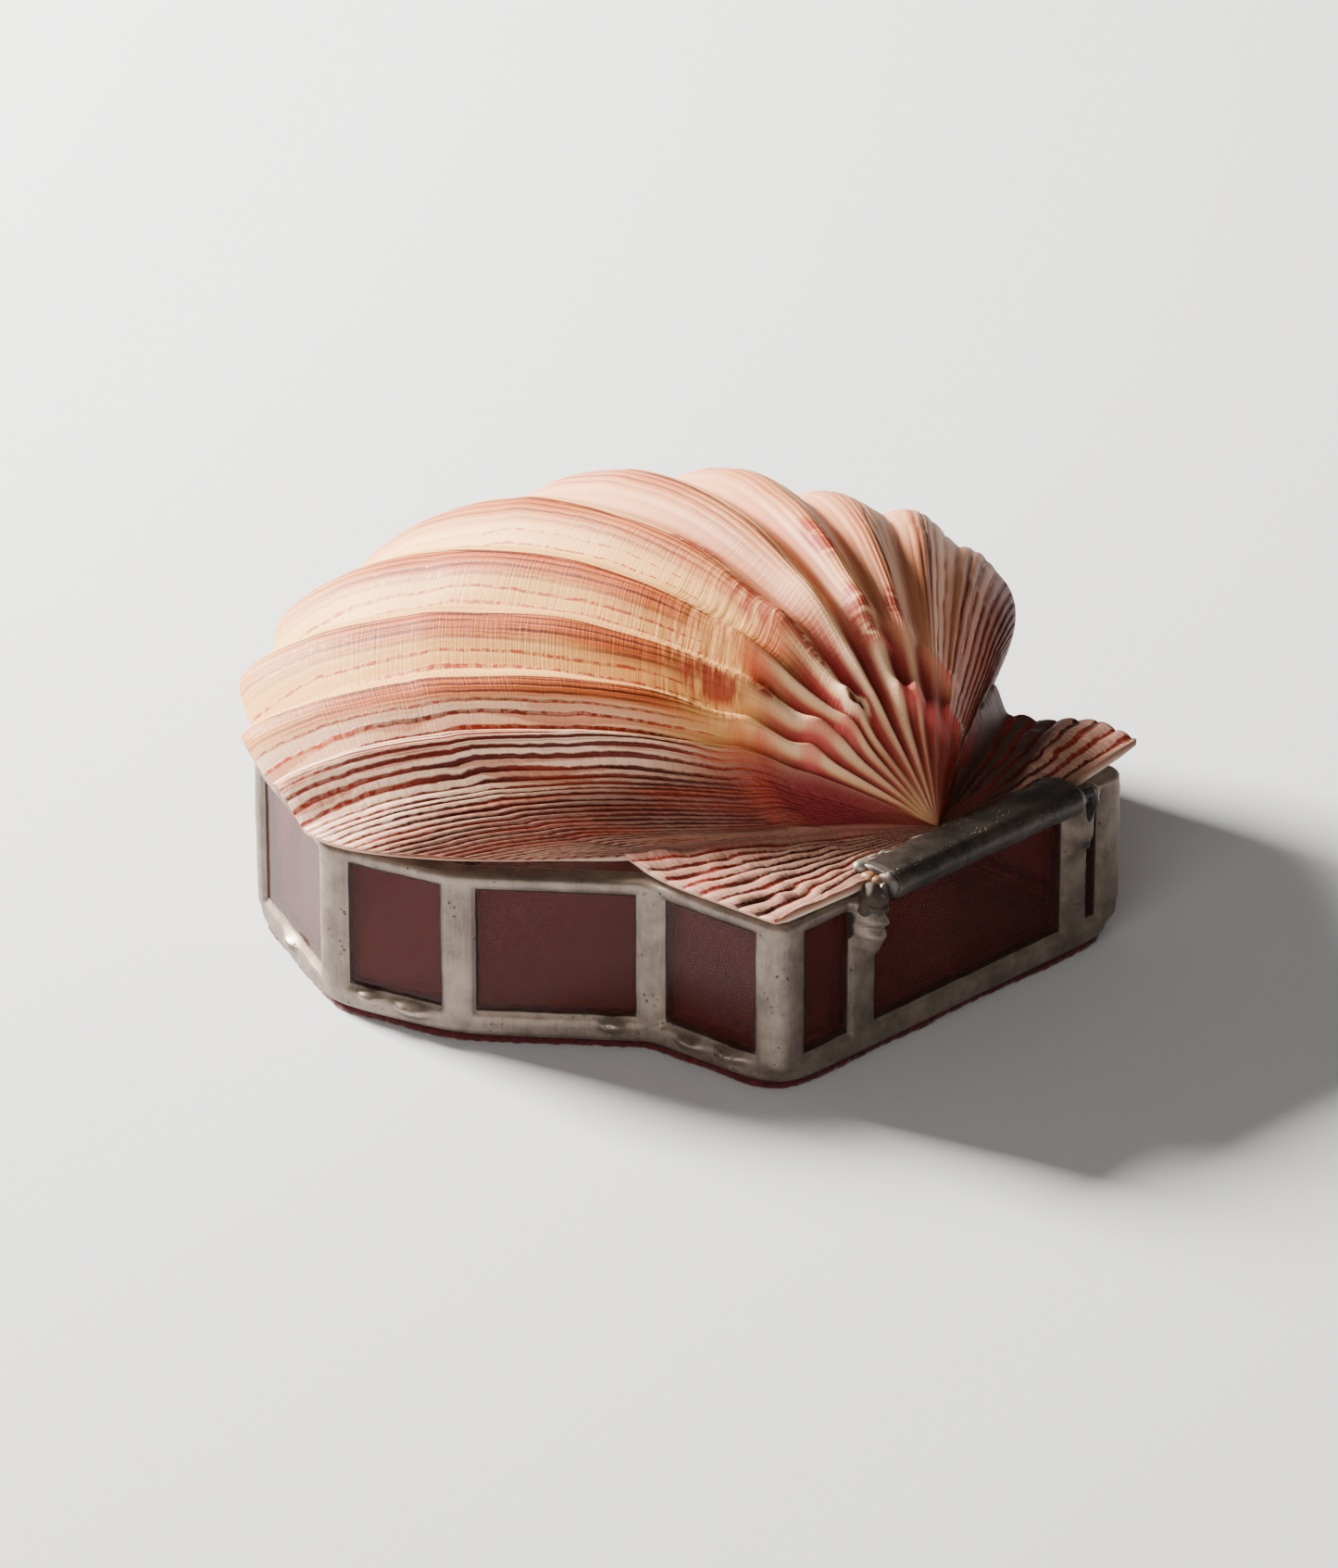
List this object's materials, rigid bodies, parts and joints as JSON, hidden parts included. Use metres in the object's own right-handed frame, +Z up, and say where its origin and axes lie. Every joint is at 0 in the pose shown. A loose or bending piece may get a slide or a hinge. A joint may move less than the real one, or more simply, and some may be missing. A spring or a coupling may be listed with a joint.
{
  "type": "stained glass trinket box",
  "caption": "Small stained-glass trinket box: plum panes in solder seams, with a ribbed scallop-shell lid hinged on a wire at the back.",
  "frame": {"origin": "centre of the box's length on its underside, on the middle line of the hinge wall", "axes": "+Z up, +Y towards the hinge wall, the box opens at -Y"},
  "size_m": [0.1184, 0.1169, 0.0531],
  "materials": {
    "solder": "dull brushed tin-lead solder with pits",
    "plum_glass": "clear plum glass",
    "felt": "crimson felt",
    "wire": "dark tinned wire",
    "sleeve": "dark pewter, smooth",
    "shell": "polished scallop shell, cream with brick-red stripes"
  },
  "bodies": {
    "box": {"solder_frame": "solder", "glass_near_1": "plum_glass", "glass_near_2": "plum_glass", "glass_near_3": "plum_glass", "glass_near_4": "plum_glass", "glass_front_near": "plum_glass", "glass_front_middle": "plum_glass", "glass_front_far": "plum_glass", "glass_far_1": "plum_glass", "glass_far_2": "plum_glass", "glass_far_3": "plum_glass", "glass_far_4": "plum_glass", "glass_hinge_near": "plum_glass", "glass_hinge_middle": "plum_glass", "glass_hinge_far": "plum_glass", "base_glass": "plum_glass", "felt_base": "felt", "hinge_rod": "wire"},
    "lid": {"shell_lid": "shell", "hinge_sleeve": "sleeve"}
  },
  "joints": [
    {"name": "lid_hinge", "type": "hinge", "parent": "box", "child": "lid", "pos_m": [0, 0.0557, 0.0265], "axis": [-1, 0, 0], "range_deg": [0, 105]}
  ]
}
